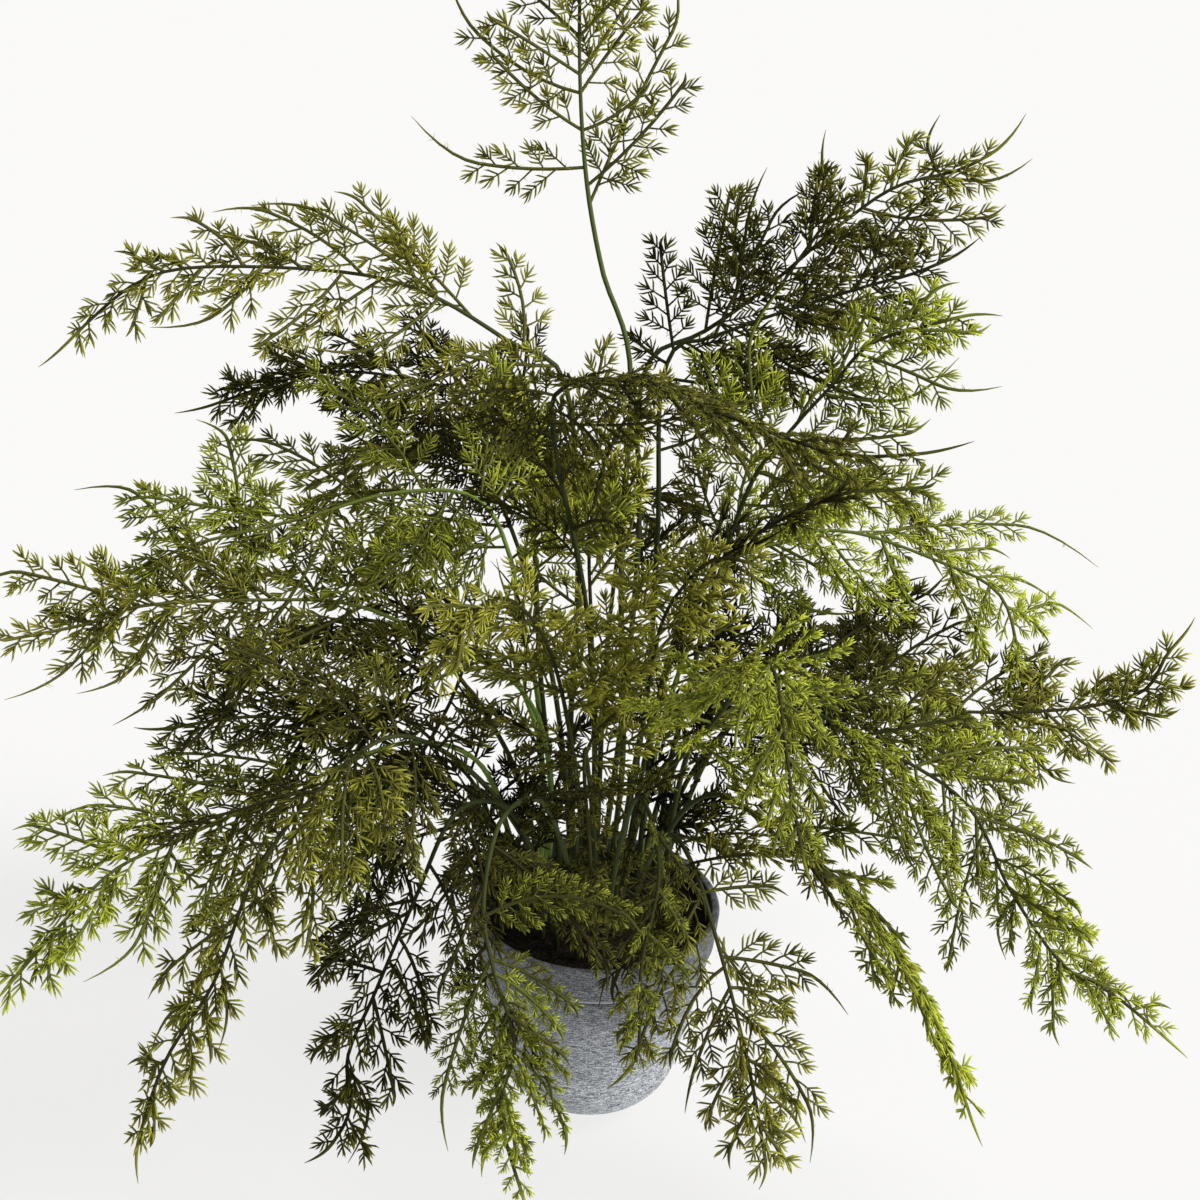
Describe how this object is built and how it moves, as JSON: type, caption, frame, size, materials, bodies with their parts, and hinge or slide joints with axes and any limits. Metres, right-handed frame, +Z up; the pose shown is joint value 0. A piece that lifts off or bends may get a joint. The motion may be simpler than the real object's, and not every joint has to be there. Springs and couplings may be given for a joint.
{
  "type": "potted asparagus fern",
  "caption": "Small house plant: long arching, feathery fern-like fronds rise and droop from dark soil in a round tapered grey pot with a plain raised collar",
  "frame": {"origin": "the middle of the pot's flat underside", "axes": "+Z up, -Y the front of the plant, +X to the right seen from the front"},
  "size_m": [0.5412, 0.3958, 0.575],
  "materials": {
    "pot": "matt grey stone effect, finely brushed round and speckled",
    "soil": "dark granular potting soil",
    "foliage": "flocked olive green",
    "foliage_light": "flocked light yellow-green",
    "foliage_dark": "flocked dark green"
  },
  "bodies": {
    "root": {"pot": "pot", "soil": "soil", "frond_top": "foliage", "frond_upper_left": "foliage", "frond_upper_left_low": "foliage_dark", "frond_left_high": "foliage_light", "frond_left_mid": "foliage", "frond_left_low": "foliage_dark", "frond_left_droop_high": "foliage_light", "frond_left_droop": "foliage", "frond_left_shadow": "foliage_dark", "frond_front_left": "foliage_dark", "frond_front_drape_left": "foliage_light", "frond_front_drape": "foliage_light", "frond_front_centre": "foliage", "frond_front_right": "foliage", "frond_front_right_high": "foliage_light", "frond_right_droop_low": "foliage_light", "frond_right_droop": "foliage_light", "frond_right_mid": "foliage", "frond_right_dark": "foliage_dark", "frond_right_high_droop": "foliage_light", "frond_right_brush": "foliage_dark", "frond_centre_arch": "foliage_dark", "frond_upper_right": "foliage_dark", "frond_upper_right_top": "foliage", "frond_upper_right_low": "foliage_light", "frond_centre": "foliage", "frond_centre_left": "foliage", "frond_centre_right": "foliage", "frond_back_left_high": "foliage", "frond_back_centre": "foliage_dark", "frond_back_right_high": "foliage", "frond_back_left_low": "foliage_dark", "frond_back_right_low": "foliage_dark"}
  },
  "joints": []
}
